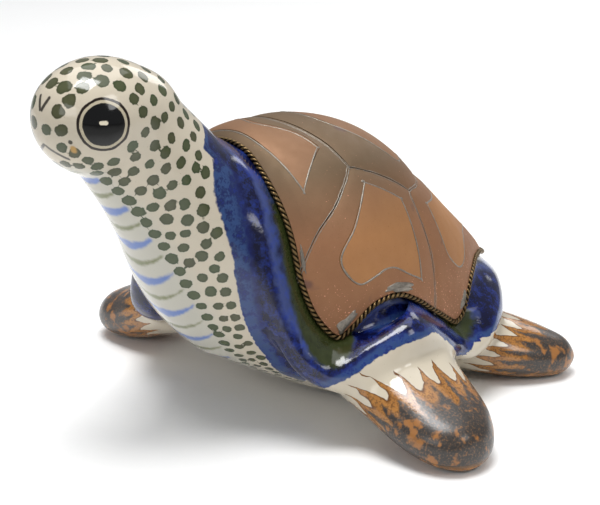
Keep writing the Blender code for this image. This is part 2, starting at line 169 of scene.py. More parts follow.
def skin(rings, joined=False):
    """Points and faces of a surface given as rings of points. It closes on itself when joined, and
    otherwise in a point at the middle of its first and last ring. Its faces turn outwards."""
    count, around = rings.shape[:2]
    grid = np.arange(count * around).reshape(count, around)
    if joined:
        grid = np.vstack([grid, grid[:1]])
    ahead = np.roll(grid, -1, axis=1)
    faces = np.stack([grid[:-1], ahead[:-1], ahead[1:], grid[1:]], -1).reshape(-1, 4).tolist()
    points = rings.reshape(-1, 3)
    if not joined:
        tip = np.full(around, count * around)
        faces += np.stack([tip, ahead[0], grid[0]], -1).tolist()
        faces += np.stack([tip + 1, grid[-1], ahead[-1]], -1).tolist()
        points = np.vstack([points, rings[[0, -1]].mean(axis=1)])
    corners = points[np.array([face[:3] for face in faces])] - points.mean(axis=0)
    if np.linalg.det(corners).sum() < 0:
        faces = [face[::-1] for face in faces]
    return points, faces


def together(shapes):
    """Several (points, faces) shapes as one."""
    starts = np.cumsum([0] + [len(points) for points, _ in shapes])
    faces = []
    for (_, own), start in zip(shapes, starts):
        faces += [[corner + start for corner in face] for face in own]
    return np.vstack([points for points, _ in shapes]), faces


def make_piece(name, points, faces, **fields):
    """An object from points in millimetres; each field is one number for each point."""
    mesh = bpy.data.meshes.new(name)
    mesh.from_pydata(((points + CENTRE) * MM).tolist(), [], faces)
    for field, values in fields.items():
        layer = mesh.attributes.new(field, "FLOAT", "POINT")
        layer.data.foreach_set("value", np.asarray(values, np.float32))
    mesh.shade_smooth()
    piece = bpy.data.objects.new(name, mesh)
    bpy.context.scene.collection.objects.link(piece)
    return piece


def baked(piece):
    """The points and faces of a piece with its modifiers applied, in millimetres; the piece goes."""
    seen = piece.evaluated_get(bpy.context.evaluated_depsgraph_get())
    mesh = bpy.data.meshes.new_from_object(seen)
    points = np.empty(len(mesh.vertices) * 3)
    mesh.vertices.foreach_get("co", points)
    faces = [list(face.vertices) for face in mesh.polygons]
    bpy.data.objects.remove(piece)
    return points.reshape(-1, 3) / MM - CENTRE, faces


def trunk_shape():
    """Superellipses on stations along y: |x / a|^p + |z / b|^p = 1, with its own power below."""
    y, width, top, bottom, middle = curve(TRUNK, np.linspace(0, 1, 60)).T[:, :, None]
    angle = np.linspace(0, 2 * np.pi, 72, endpoint=False)
    power = np.where(np.sin(angle) > 0, 2 / UPPER_POWER, 2 / LOWER_POWER)
    height = np.where(np.sin(angle) > 0, top - middle, middle - bottom)
    x = width * signed_power(np.cos(angle), power)
    return skin(np.stack([x, y + 0 * angle, middle + height * signed_power(np.sin(angle), power)], -1))


def neck_shape():
    """Ovals square to the neck's middle line, drawn to a soft keel at the throat by a lower power."""
    y, z, throat, nape, width = curve(NECK, np.linspace(0, 1, 50)).T[:, :, None]
    along_y, along_z = np.gradient(y[:, 0])[:, None], np.gradient(z[:, 0])[:, None]
    length = np.hypot(along_y, along_z)
    angle = np.linspace(0, 2 * np.pi, 64, endpoint=False)
    power = np.where(np.sin(angle) > 0, 2 / THROAT_POWER, 1.0)
    across = np.where(np.sin(angle) > 0, throat, nape) * signed_power(np.sin(angle), power)
    x = width * signed_power(np.cos(angle), power)
    return skin(np.stack([x, y + across * along_z / length, z - across * along_y / length], -1))


def egg_shape(centre, radii, tip):
    """An ellipsoid, as rings round its long axis, tipped up at the front."""
    rise = np.linspace(0.05, np.pi - 0.05, 40)[:, None]
    angle = np.linspace(0, 2 * np.pi, 64, endpoint=False)
    x = np.sin(rise) * np.cos(angle) * radii[0]
    y = (-np.cos(rise) + 0 * angle) * radii[1]
    z = np.sin(rise) * np.sin(angle) * radii[2]
    level, up = np.cos(np.radians(tip)), np.sin(np.radians(tip))
    return skin(np.stack([x, y * level + z * up, z * level - y * up], -1) + np.array(centre))


def tube(path, radius, around, joined):
    """Circles square to a path, with their sides kept level."""
    ahead = np.roll(path, -1, 0) - np.roll(path, 1, 0) if joined else np.gradient(path, axis=0)
    side = unit(np.cross(unit(ahead), (0.0, 0.0, 1.0)))
    over = np.cross(side, unit(ahead))
    angle = np.linspace(0, 2 * np.pi, around, endpoint=False)[:, None]
    radius = np.broadcast_to(radius, len(path))[:, None, None]
    return path[:, None] + radius * (np.cos(angle) * side[:, None] + np.sin(angle) * over[:, None])


def roll_shape():
    """A round tube whose radius changes along its loop."""
    rows = flowing(mirrored(ROLL), 260, closed=True)
    return skin(tube(rows[:, :3], rows[:, 3], 36, joined=True), joined=True)


def paddle_shape(stations, side):
    """Ellipses square to the paddle's middle line; side is 1 left, -1 right."""
    rows = curve(stations, np.linspace(0, 1, 40))
    path = rows[:, :3] * (side, 1, 1)
    across = unit(np.cross(np.gradient(path, axis=0), (0.0, 0.0, 1.0)))
    over = np.cross(across, unit(np.gradient(path, axis=0)))
    angle = np.linspace(0, 2 * np.pi, 48, endpoint=False)[:, None]
    wide = rows[:, 3][:, None, None] * np.cos(angle) * across[:, None]
    thick = rows[:, 4][:, None, None] * np.sin(angle) * over[:, None]
    return skin(path[:, None] + wide + thick)


def dome_level(points):
    """Below 0 inside the trunk's outer surface and above 0 outside it, by the trunk's own formula."""
    stations = curve(TRUNK, np.linspace(0, 1, 400))
    width, top, bottom, middle = (
        np.interp(points[..., 1], stations[:, 0], stations[:, column]) for column in (1, 2, 3, 4)
    )
    above = points[..., 2] > middle
    height = np.where(above, top - middle, middle - bottom)
    power = np.where(above, UPPER_POWER, LOWER_POWER)
    return np.abs(points[..., 0] / width) ** power + (np.abs(points[..., 2] - middle) / height) ** power - 1


def to_plan(angles):
    """The shell's angles as a flat map: the fall is the distance from the top, the bearing turns."""
    angles = np.asarray(angles, float)
    bearing = np.radians(angles[..., 0])
    return angles[..., 1:] * np.stack([np.sin(bearing), np.cos(bearing)], -1)


def plan_of(points):
    """Where points lie on the flat map."""
    x, y, z = np.moveaxis(unit(points - SHELL_CENTRE), -1, 0)
    return to_plan(np.degrees(np.stack([np.arctan2(x, -y), np.arccos(z)], -1)))


def dome_reach(plan):
    """The unit ray from the shell's centre through a place on the flat map, and how far along it the
    dome lies, found by halving the gap thirty times."""
    fall = np.radians(np.hypot(plan[..., 0], plan[..., 1]))
    flat = plan / np.maximum(np.hypot(plan[..., 0], plan[..., 1]), 1e-9)[..., None]
    ray = np.stack([np.sin(fall) * flat[..., 0], -np.sin(fall) * flat[..., 1], np.cos(fall)], -1)
    near, far = np.zeros(ray.shape[:-1]), np.full(ray.shape[:-1], 110.0)
    for _ in range(30):
        middle = (near + far) / 2
        inside = dome_level(SHELL_CENTRE + middle[..., None] * ray) < 0
        near, far = np.where(inside, middle, near), np.where(inside, far, middle)
    return ray, near


def on_dome(plan, lift=0.0):
    """Points over a place on the flat map, raised by lift along the dome's normal. The shell lies a
    little lower than the trunk's own formula in three places: by depth exp(-d^2) from each middle."""
    ray, reach = dome_reach(plan)
    points = SHELL_CENTRE + reach[..., None] * ray
    steps = 0.4 * np.eye(3)
    slope = np.stack([dome_level(points + step) - dome_level(points - step) for step in steps], -1)
    sag = sum(
        depth * np.exp(-(((plan[..., 0] - x) / wide) ** 2 + ((plan[..., 1] - y) / long) ** 2))
        for x, y, wide, long, depth in SAG
    )
    return points + (np.asarray(lift) - sag)[..., None] * unit(slope)


def squares(points, places):
    """The squared distances from points to places, for a few thousand points at a time."""
    for start in range(0, len(points), 8000):
        part = slice(start, start + 8000)
        yield part, (points[part] ** 2).sum(1)[:, None] - 2 * points[part] @ places.T + (places**2).sum(1)


def nearest(points, places):
    """The distance from each point to the nearest of some places, and which that is."""
    distance, index = np.empty(len(points)), np.empty(len(points), int)
    for part, square in squares(points, places):
        index[part] = square.argmin(1)
        distance[part] = np.sqrt(np.maximum(square.min(1), 0))
    return distance, index


def second_nearest(points, places):
    """The distance from each point to the second nearest of some places."""
    distance = np.empty(len(points))
    for part, square in squares(points, places):
        distance[part] = np.sqrt(np.maximum(np.partition(square, 1, axis=1)[:, 1], 0))
    return distance


def beyond(plan, edge):
    """Where the flat map's places lie outside a closed edge that turns once round the top."""
    edge = np.asarray(edge, float)
    bearing = np.abs(np.degrees(np.arctan2(plan[:, 0], plan[:, 1])))
    return np.hypot(plan[:, 0], plan[:, 1]) > np.interp(bearing, edge[:, 0], edge[:, 1])


def paddle_place(points, stations, side):
    """How far along a paddle each point lies (more at its low front, where the glaze starts sooner),
    how far round it, and how far off its middle line in half widths."""
    rows = curve(stations, np.linspace(0, 1, 120))
    path = rows[:, :3] * (side, 1, 1)
    _, index = nearest(points, path)
    away = points - path[index]
    ahead = unit(np.gradient(path, axis=0))[index]
    level = unit(np.cross(ahead, (0.0, 0.0, 1.0)))
    wide = side * (away * level).sum(1) / rows[index, 3]
    thick = (away * np.cross(level, ahead)).sum(1) / rows[index, 4] * side
    angle = np.arctan2(thick, wide)
    low_front = 9 * np.clip(np.cos(angle + 0.5), 0, 1)
    along = lengths(path)[index] + (away * ahead).sum(1) + low_front
    return along, PADDLE_ROUND * angle, np.hypot(wide, thick)


clay = make_piece(
    "wet_clay",
    *together(
        [trunk_shape(), neck_shape(), egg_shape(*HEAD), egg_shape(*NAPE_PAD), roll_shape()]
        + [paddle_shape(stations, side) for stations in (FRONT_PADDLE, REAR_PADDLE) for side in (1, -1)]
    ),
)
joining = clay.modifiers.new("lute together", "REMESH")
joining.mode = "VOXEL"
joining.voxel_size = CLAY_VOXEL * MM
sponging = clay.modifiers.new("sponge", "SMOOTH")
sponging.iterations = SPONGING
sponging.factor = 0.5
clay_points, clay_faces = baked(clay)

# The seat of the shell: the clay inside the rim is kept below the copper, with a groove for the rope
# and a lip beyond it. Then each point near the rim is drawn towards the mean of its neighbours, and
# over a wider band where the neck, the roll and the chest meet.
SEAT = ((-4, -5.0), (-1, -1.6), (1.2, -0.4), (1.9, 2.2), (2.8, 7), (3.6, 400))  # out from the rim, height
NECK_LIFT = 17.0  # at the front, clay further than this over the dome is the neck's and is left alone
NECK_BEARING = 28
DRAWN = 0.75
DRAWN_PASSES = 30

rim_loop = mirrored(to_plan(RIM))
rim_line = on_dome(flowing(rim_loop, 900, closed=True))
clay_plan = plan_of(clay_points)
clay_ray, clay_reach = dome_reach(clay_plan)
clay_bearing = np.abs(np.degrees(np.arctan2(clay_plan[:, 0], clay_plan[:, 1])))
rim_distance, _ = nearest(SHELL_CENTRE + clay_reach[:, None] * clay_ray, rim_line)
rim_distance *= np.where(beyond(clay_plan, RIM), 1, -1)
lift = np.linalg.norm(clay_points - SHELL_CENTRE, axis=1) - clay_reach
allowed = np.interp(rim_distance, *np.array(SEAT).T)
pressed = (lift < NECK_LIFT) | (clay_bearing > NECK_BEARING)
clay_points -= clay_ray * np.where(pressed, np.maximum(lift - allowed, 0), 0)[:, None]

quads = np.array(clay_faces)
ends = np.concatenate([quads[:, [0, 1]], quads[:, [1, 2]], quads[:, [2, 3]], quads[:, [3, 0]]])
ends = np.concatenate([ends, ends[:, ::-1]])
valence = np.bincount(ends[:, 0], minlength=len(clay_points))[:, None]
lip = np.interp(rim_distance, (0.6, 2.0, 12, 18), (0, DRAWN, DRAWN, 0))
chest = np.interp(rim_distance, (0.6, 2.0, 21, 30), (0, DRAWN, DRAWN, 0))
chest *= np.interp(clay_bearing, (14, 20, 40, 46), (0, 1, 1, 0))
drawn = np.maximum(lip, chest)[:, None]
for _ in range(DRAWN_PASSES):
    sums = [np.bincount(ends[:, 0], clay_points[ends[:, 1], axis]) for axis in range(3)]
    clay_points += drawn * (np.stack(sums, -1) / valence - clay_points)
clay_points[:, 2] = np.maximum(clay_points[:, 2], 0)

# How far down the neck (from the middle of the head), and how far from the keel of the throat.
neck_line = np.array(NECK, float)
neck_path = neck_line[:, :2] - neck_line[0, :2]
neck_down = unit(neck_path[-1])
neck_front = np.array((neck_down[1], -neck_down[0]))
down = (clay_points[:, 1:] - neck_line[0, :2]) @ neck_down
front = (clay_points[:, 1:] - neck_line[0, :2]) @ neck_front
keel = np.interp(down, neck_path @ neck_down, neck_path @ neck_front + neck_line[:, 2])
from_keel = np.hypot(clay_points[:, 0], keel - front)
throat = np.interp(down, *np.array(THROAT_EDGE, float).T) - from_keel
throat = np.where((front > 0) & (clay_points[:, 1] < -20), throat, -20)

# How far inside the blue slip, in millimetres, and the share of the way across it from the rope.
# At the neck the edge is also limited by the height over the dome, and across the nape by the
# distance down the neck.
MILLIMETRES_PER_DEGREE = 1.3
COLLAR_LIFT = 26
NAPE_DOWN = 30.5
blue_distance, _ = nearest(clay_plan, flowing(mirrored(to_plan(BLUE_EDGE)), 900, closed=True))
blue_inside = MILLIMETRES_PER_DEGREE * np.where(beyond(clay_plan, BLUE_EDGE), -1, 1) * blue_distance
blue_inside = np.minimum(blue_inside, np.where(clay_bearing < 35, COLLAR_LIFT, 90) - lift)
nape_inside = np.minimum(down - NAPE_DOWN, -13 - front)
blue_inside = np.where(clay_points[:, 1] < -30, np.maximum(blue_inside, nape_inside), blue_inside)
from_rope = np.clip(rim_distance, 0, None)
rolled = from_rope / (from_rope + np.clip(blue_inside, 0.01, None))

# How far inside the olive groove beside the rope.
olive = np.interp(clay_bearing, *np.array(GROOVE, float).T) - rim_distance

# The paddles: distance along and round, kept for the nearest of the four. The glaze starts a little
# sooner on the rear ones.
reach, turn = np.zeros((2, len(clay_points)))
closest = np.full(len(clay_points), 1.6)
for stations, sooner in ((FRONT_PADDLE, 0.0), (REAR_PADDLE, 2.0)):
    for side in (1, -1):
        along, around, off = paddle_place(clay_points, stations, side)
        mine = (off < closest) & (clay_points[:, 0] * side > 18)
        reach = np.where(mine, along + sooner, reach)
        turn = np.where(mine, around, turn)
        closest = np.where(mine, off, closest)

# Dots: rows along the throat first, then each new dot where the bare clay is widest, then evened out
# by moving each to the middle of the clay that is nearest to it. The eyes, nostrils and mouth are
# left clear.
DOT_RADIUS = 2.3
DOT_GAP = 0.45  # half the least width of bare clay between two dots
DOT_SPACING = 5.9
DOT_ROW_SPACING = 5.6
DOT_SIZES = ((-30, 1.14), (5, 1.0), (60, 0.98), (90, 0.86), (130, 0.76))  # against the way down the neck
NOSTRILS = (0, -123, 138)
MOUTH = (0, -121, 121)
rng = np.random.default_rng(12)
spotted = (throat < -1.8) & (blue_inside < -1.6) & (clay_points[:, 1] < -24) & (down < 140)
spotted &= (np.abs(clay_points[:, 0]) < 46) & (clay_points[:, 2] > 2.5)
left_half = np.abs(clay_points * (1, 0, 0)) + clay_points * (0, 1, 1)
for feature, clear in ((EYE, EYE_CLEAR), (NOSTRILS, 5.5), (MOUTH, 6)):
    spotted &= np.linalg.norm(left_half - feature, axis=1) > clear
ground = clay_points[spotted]
size = np.interp(down[spotted], *np.array(DOT_SIZES).T)
chosen = [
    np.argmin((down[spotted] - place) ** 2 + (throat[spotted] + 2.4) ** 2 + 1e3 * (side * ground[:, 0] < 0))
    for place in np.arange(8, 108, DOT_ROW_SPACING)
    for side in (1, -1)
]
in_rows = len(chosen)
bare = nearest(ground, ground[chosen])[0] / size
while bare.max() > 0.86 * DOT_SPACING:
    chosen.append(int(bare.argmax()))
    bare = np.minimum(bare, np.linalg.norm(ground - ground[chosen[-1]], axis=1) / size)
centres = ground[chosen]
for _ in range(14):
    owner = nearest(ground, centres)[1]
    count = np.maximum(np.bincount(owner, minlength=len(centres)), 1)[:, None]
    middle = np.stack([np.bincount(owner, ground[:, axis], len(centres)) for axis in range(3)], -1) / count
    centres[in_rows:] = ground[nearest(middle[in_rows:], ground)[1]]
dot_size = size[nearest(centres, ground)[1]] * DOT_RADIUS * rng.uniform(0.88, 1.1, len(centres))
dot_size[:in_rows] *= 1.12
dot_distance, dot_index = nearest(clay_points, centres)
# Each dot is squashed along the neck by its own share, as a round brush laid sideways leaves it.
squash = rng.uniform(0.1, 0.8, len(centres))[dot_index]
squashed = (clay_points - centres[dot_index])[:, 1:] @ neck_down
dots = dot_size[dot_index] - np.sqrt(dot_distance**2 + squash * squashed**2) * 0.93
dots = np.minimum(dots, (second_nearest(clay_points, centres) - dot_distance) / 2 - DOT_GAP)
dot_tone = rng.uniform(0, 1, len(centres))
dot_tone[:in_rows] += 1.2

casting = make_piece(
    "glazed_casting", clay_points, clay_faces,
    down=down, keel=from_keel, throat=throat, blue=blue_inside, rolled=rolled, olive=olive,
    reach=reach, turn=turn, dots=dots, tone=dot_tone[dot_index],
)


def linear(code):
    """An sRGB hex colour as linear red, green, blue and alpha."""
    shares = np.array([int(code[place : place + 2], 16) for place in (0, 2, 4)]) / 255
    return (*np.where(shares <= 0.04045, shares / 12.92, ((shares + 0.055) / 1.055) ** 2.4).tolist(), 1.0)


def fill(tree, node, inputs):
    """Sets a node's inputs, by name or in order, to other nodes' outputs, values or hex colours."""
    for name, value in inputs.items() if isinstance(inputs, dict) else enumerate(inputs):
        if isinstance(value, bpy.types.NodeSocket):
            tree.links.new(value, node.inputs[name])
        else:
            node.inputs[name].default_value = linear(value) if isinstance(value, str) else value


def add(tree, kind, inputs=(), output=0, **settings):
    """Adds one node with its settings and inputs, and gives one of its outputs."""
    node = tree.nodes.new("ShaderNode" + kind)
    for name, value in settings.items():
        setattr(node, name, value)
    fill(tree, node, inputs)
    return node.outputs[output]


def new_finish(name):
    """An empty material: its tree, its shader and the object's own coordinates."""
    material = bpy.data.materials.new(name)
    material.use_nodes = True
    tree = material.node_tree
    return material, tree, tree.nodes["Principled BSDF"], add(tree, "TexCoord", output="Object")


def summed(tree, start, *parts):
    """The start, plus each part: an output times its factor."""
    for part, factor in parts:
        start = add(tree, "Math", (part, factor, start), operation="MULTIPLY_ADD")
    return start


def laid_over(tree, under, colour, field, start=0.0, end=1.0, most=1.0):
    """Colour laid over what is under it: none where field is at start, and the share most at end."""
    share = add(tree, "MapRange", {"Value": field, "From Min": start, "From Max": end, "To Max": most})
    return add(tree, "Mix", {"Factor": share, "A": under, "B": colour}, 2, data_type="RGBA")


def brushed(tree, place, under, colour, field, soft, wander=0.0, wander_size=2.0):
    """Colour brushed over what is under it wherever field is above 0, with an edge that is soft on
    both sides and wanders, all in millimetres. Gives the new colour and the cover."""
    noise = add(tree, "TexNoise", {"Vector": place, "Scale": 1 / (wander_size * MM), "Detail": 2.0})
    moved = summed(tree, field, (noise, 2 * wander))
    limits = {"Value": moved, "From Min": wander - soft, "From Max": wander + soft}
    cover = add(tree, "MapRange", limits, interpolation_type="SMOOTHSTEP")
    return laid_over(tree, under, colour, cover), cover


def stroke_distance(tree, place, start, end):
    """Millimetres from a straight brush stroke: the distance to the nearest point of its middle line."""
    start, along = (np.array(start) + CENTRE) * MM, (np.array(end) - np.array(start)) * MM
    away = add(tree, "VectorMath", (place, start.tolist()), operation="SUBTRACT")
    step = (along / (along @ along)).tolist()
    dot = add(tree, "VectorMath", (away, step), 1, operation="DOT_PRODUCT")
    share = add(tree, "Math", (dot, 1.0), operation="MULTIPLY", use_clamp=True)
    reached = add(tree, "VectorMath", {0: along.tolist(), "Scale": share}, operation="SCALE")
    gap = add(tree, "VectorMath", (away, reached), 1, operation="DISTANCE")
    return add(tree, "Math", (gap, 1 / MM), operation="MULTIPLY")


STROKE_SPACING = 16.5  # from one stroke of a colour on the throat to the next
TONGUE_SPACING = 7.2
TONGUE_LENGTH = 24.0  # at most
IRON_START = 46.5  # along a paddle's middle line
FACE_BEHIND = -92.0  # the face is painted only in front of this


def glazed_stoneware():
    """Brushed slips under one clear glaze: deep even gloss, colours that bleed at their edges, cobalt
    that pools black in the hollows, and an iron glaze on the paddles that breaks from rust to
    gunmetal. The foot is bare fired clay."""
    material, tree, shader, place = new_finish("glazed stoneware")
    field = {
        name: add(tree, "Attribute", {}, "Fac", attribute_name=name)
        for name in ("down", "keel", "throat", "blue", "rolled", "olive", "reach", "turn", "dots", "tone")
    }
    broad, medium, fine = (
        add(tree, "TexNoise", {"Vector": place, "Scale": 1 / (size * MM), "Detail": detail})
        for size, detail in ((14, 3.0), (4, 4.0), (0.8, 3.0))
    )
    x, y, z = add(tree, "SeparateXYZ", (place,)).node.outputs

    # Cream ground: warmer on the side of the neck, cooler at the throat, with iron flecks.
    ground = laid_over(tree, "c5bba8", "b9b6aa", field["throat"], -9.0, 1.0)
    ground = laid_over(tree, ground, "8a7454", fine, 0.70, 0.76, 0.5)

    # Throat strokes: blue and green by turns, thick at the keel, their tails bent up the neck.
    bend = add(tree, "Math", (field["keel"], 2.0), operation="POWER")
    bent = summed(tree, field["down"], (bend, 0.016))
    half = add(tree, "MapRange", {"Value": field["keel"], "From Max": 15.0, "To Min": 2.1, "To Max": 0.5})
    plain = add(tree, "MapRange", {"Value": field["throat"], "From Min": -0.6, "From Max": 0.8})
    for first_stroke, paint, wide in ((29.5, "6179b2", 1.05), (37.7, "767a58", 0.6)):
        moved = add(tree, "Math", (bent, first_stroke), operation="SUBTRACT")
        off = add(tree, "Math", (moved, STROKE_SPACING / 2), operation="PINGPONG")
        inside = add(tree, "Math", (half, wide), operation="MULTIPLY")
        inside = add(tree, "Math", (inside, off), operation="SUBTRACT")
        _, cover = brushed(tree, place, ground, paint, inside, 0.9, 0.8, 2.5)
        cover = add(tree, "Math", (cover, plain), operation="MULTIPLY")
        ground = laid_over(tree, ground, paint, cover)

    # Dots of copper green, thin in the middle and darker where the brush lifted at the edge.
    green = laid_over(tree, "40412a", "37452a", field["tone"])
    thin = add(tree, "MapRange", {"Value": field["dots"], "From Min": 0.3, "From Max": 0.9, "To Max": 0.45})
    thin = add(tree, "Math", (thin, medium), operation="MULTIPLY")
    green = laid_over(tree, green, "66684a", thin)
    colour, _ = brushed(tree, place, ground, green, field["dots"], 0.16, 0.55, 2.2)

    # Face, the same on both sides: the rings of the eye, then strokes seen from the side or the front
    # for its catchlight, the nostril, the mouth and the ochre touch behind it.
    sideways = add(tree, "Math", (x,), operation="ABSOLUTE")
    face = add(tree, "CombineXYZ", (sideways, y, z))
    eye_middle = ((EYE + CENTRE) * MM).tolist()
    from_eye = add(tree, "VectorMath", (face, eye_middle), 1, operation="DISTANCE")
    from_eye = add(tree, "Math", (from_eye, 1 / MM), operation="MULTIPLY")
    for radius, paint, wander in ((9.5, "1e140c", 0.5), (8.5, "b7ad95", 0.3), (7.5, "020202", 0.3)):
        inside = add(tree, "Math", (radius, from_eye), operation="SUBTRACT")
        colour, _ = brushed(tree, place, colour, paint, inside, 0.14, wander, 4.0)
    side_on = add(tree, "CombineXYZ", (18.7 * MM, y, z))
    front_on = add(tree, "CombineXYZ", (sideways, -109 * MM, z))
    ahead = summed(tree, FACE_BEHIND, (y, -1 / MM))
    for seen, start, end, width, paint, soft in (
        (side_on, (18.7, -109.8, 132.2), (18.7, -111.2, 132.3), 0.72, "e0d6be", 0.12),
        (front_on, (2.5, -120, 139.9), (0.5, -120, 135.9), 0.68, "403b33", 0.25),
        (front_on, (0, -120, 123.5), (7.6, -120, 118.9), 0.55, "55524b", 0.25),
        (front_on, (11.0, -120, 122.4), (11.3, -120, 123.6), 0.8, "b08a4a", 0.4),
        (front_on, (11.1, -120, 125.6), (11.2, -120, 125.9), 0.6, "3a3526", 0.2),
    ):
        inside = add(tree, "Math", (width, stroke_distance(tree, seen, start, end)), operation="SUBTRACT")
        inside = add(tree, "Math", (inside, ahead), operation="MINIMUM")
        colour, _ = brushed(tree, place, colour, paint, inside, soft, 0.2, 1.5)

    # Iron glaze on the paddles: dark-edged tongues run back towards the body, rust breaks to gunmetal.
    jitter = summed(tree, field["turn"], (broad, 9.0))
    tongue = add(tree, "Math", (jitter, TONGUE_SPACING / 2), operation="PINGPONG")
    tongue = add(tree, "Math", (tongue, TONGUE_SPACING / 2), operation="DIVIDE")
    tongue = add(tree, "Math", (tongue, 1.7), operation="POWER")
    length = add(tree, "Math", (broad, TONGUE_LENGTH), operation="MULTIPLY")
    tongue = summed(tree, field["reach"], (tongue, length))
    iron = add(tree, "Math", (tongue, IRON_START), operation="SUBTRACT")
    amber = laid_over(tree, "7c4c22", "bd8747", medium)
    amber = laid_over(tree, amber, "4d3522", fine, 0.48, 0.62, 0.6)
    amber = laid_over(tree, "5a3517", amber, iron, 0.5, 2.2)
    patch = summed(tree, iron, (broad, 16.0), (medium, 20.0))
    metal = add(tree, "MapRange", {"Value": patch, "From Min": 26.0, "From Max": 30.0})
    high = add(tree, "MapRange", {"Value": z, "From Min": 2.2 * MM, "From Max": 5.0 * MM})
    metal = add(tree, "Math", (metal, high), operation="MULTIPLY")
    ember = summed(tree, medium, (broad, 0.8))
    dark = laid_over(tree, "0e0c0a", "4e4843", fine)
    dark = laid_over(tree, dark, "a06a34", ember, 0.96, 1.06, 0.85)
    dark = laid_over(tree, dark, "96683c", fine, 0.54, 0.66, 0.4)
    amber = laid_over(tree, amber, dark, metal)
    colour, dipped = brushed(tree, place, colour, amber, iron, 0.5, 0.6, 1.6)

    # Cobalt slip on the roll, from the rope outwards: nearly black, a pale lavender crest, deep cobalt
    # that pools black, and a thin matt denim wash out to its edge. The groove by the rope is olive.
    zones = add(tree, "ValToRGB", (summed(tree, field["rolled"], (medium, 0.22), (broad, 0.2)),))
    ramp = zones.node.color_ramp
    ramp.elements[0].color = linear("080a20")
    ramp.elements[1].color = linear("2c4472")
    for position, paint in (
        (0.34, "0d1234"), (0.42, "323f6c"), (0.49, "3a4676"), (0.57, "080b30"), (0.76, "060826"),
        (0.88, "101a50"), (0.95, "2a406c"),
    ):
        ramp.elements.new(position).color = linear(paint)
    raised = {"Value": z, "From Min": 45 * MM, "From Max": 80 * MM, "To Max": 0.09}
    blots = summed(tree, add(tree, "MapRange", raised), (fine, 0.4), (medium, 1.0))
    blots = add(tree, "MapRange", {"Value": blots, "From Min": 0.73, "From Max": 0.87})
    pooled = add(tree, "MapRange", {"Value": field["rolled"], "From Min": 0.36, "From Max": 0.46})
    pooled = add(tree, "Math", (pooled, blots), operation="MULTIPLY")
    cobalt = laid_over(tree, zones, "15171a", pooled)
    light = summed(tree, medium, (fine, 0.5))
    cobalt = laid_over(tree, cobalt, "1f3a9c", light, 0.70, 0.98, 0.5)
    mossy = laid_over(tree, "1a200b", "3a4122", medium)
    cobalt, _ = brushed(tree, place, cobalt, mossy, field["olive"], 0.8, 0.8, 3.0)
    colour, slipped = brushed(tree, place, colour, cobalt, field["blue"], 0.3, 0.5, 2.0)

    # Bare foot.
    bare_foot = add(tree, "MapRange", {"Value": z, "From Min": 1.5 * MM, "From Max": 0.7 * MM})
    colour = laid_over(tree, colour, "4a3826", bare_foot)

    # Gloss: clear glaze, duller on the gunmetal and dull on the foot. The slips stand up a little.
    sheen = add(tree, "MapRange", {"Value": metal, "To Min": 0.1, "To Max": 0.28})
    sheen = add(tree, "Mix", {"Factor": dipped, "A": 0.09, "B": sheen})
    sheen = add(tree, "Mix", {"Factor": bare_foot, "A": sheen, "B": 0.8})
    pitted = add(tree, "Math", (fine, summed(tree, dipped, (slipped, 0.45))), operation="MULTIPLY")
    ripple = summed(tree, medium, (pitted, 1.2))
    bump = add(tree, "Bump", {"Height": ripple, "Strength": 0.14, "Distance": 0.35 * MM})
    fill(tree, shader, {"Base Color": colour, "Roughness": sheen, "IOR": 1.52, "Normal": bump})
    return material


casting.data.materials.append(glazed_stoneware())
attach(casting, "root")
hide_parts("ceramic_body")


# ---- The copper shell ---------------------------------------------------------------------------
# Five scutes of copper sheet, dished over a stake, browned with a patina and soldered edge to edge.
# Each has an opening that holds a sheet of brighter copper, rubbed back with fine abrasive.

PLATE_UNDER = 0.7  # from the dome to the sheet's underside, and to its face at a seam
PLATE_FACE = 1.15
PLATE_CROWN = 0.9  # how much higher the face is mid scute
PILLOW = 15.0  # how far from a seam the dishing reaches its full height
EDGE_TURN = 6.0  # how far from the rope the face turns down
SEAM_WIDTH, SEAM_DEPTH = 1.4, 0.25
ROPE_RADIUS = 1.0
SHEET_GRID = (360, 70)
SHARP_ANGLE = 0.7  # radians: the cut edges shade sharp
OFF_CENTRE = 0.37  # of a step, so that no point of the sheet lies on the centre line
HALF_SEAM = 0.16  # degrees
WEDGE_REACH = (8.0, 260.0)  # where a cutting wedge starts and ends, from the shell's centre

# Seams in the shell's angles; a point given twice is a corner.
FRONT_SEAM = ((0, 29.5), (14, 30), (27, 32), (37, 35), (48, 42))
SIDE_SEAM = ((48, 42), (83, 47))
REAR_SEAM = ((83, 47), (101, 43), (125, 38), (150, 34), (180, 32.5))
SHOULDER_SEAM = ((48, 42), (46, 48), (42, 57), (37, 65), (32.6, 76), (30, 84))
HIP_SEAM = ((83, 47), (82, 51), (83, 63), (84, 76), (83.2, 95.6), (83, 105))
NAPE_EDGE = ((20, 70), (0, 60))
FLANK_EDGE = ((70, 108), (45, 112), (36, 104))
TAIL_EDGE = ((100, 122), (125, 115), (150, 115), (180, 115))

CROWN_INLAY = ((0, 19.5), (15, 20), (42, 22), (86, 32), (104, 29), (130, 24), (180, 20))
NAPE_INLAY = (
    (0, 35.5), (22, 34.5), (34, 38), (34, 38), (33, 46), (32, 54), (32, 54), (25, 48.5), (16, 44.5),
    (0, 41.5),
)
TAIL_INLAY = (
    (180, 42), (130, 46), (110, 51), (94, 53), (94, 53), (94, 63), (95, 74), (99, 80), (104, 83),
    (110, 81.5), (119, 76), (131, 74), (143, 76), (160, 81), (180, 84),
)
FLANK_INLAY = (
    (54, 47), (54, 47), (72, 51), (72, 51), (74, 60), (75, 71), (75, 81), (75, 81), (69, 78), (63, 75),
    (59, 75), (55, 77), (50, 79), (46, 76), (44, 71), (48, 63), (51, 55),
)

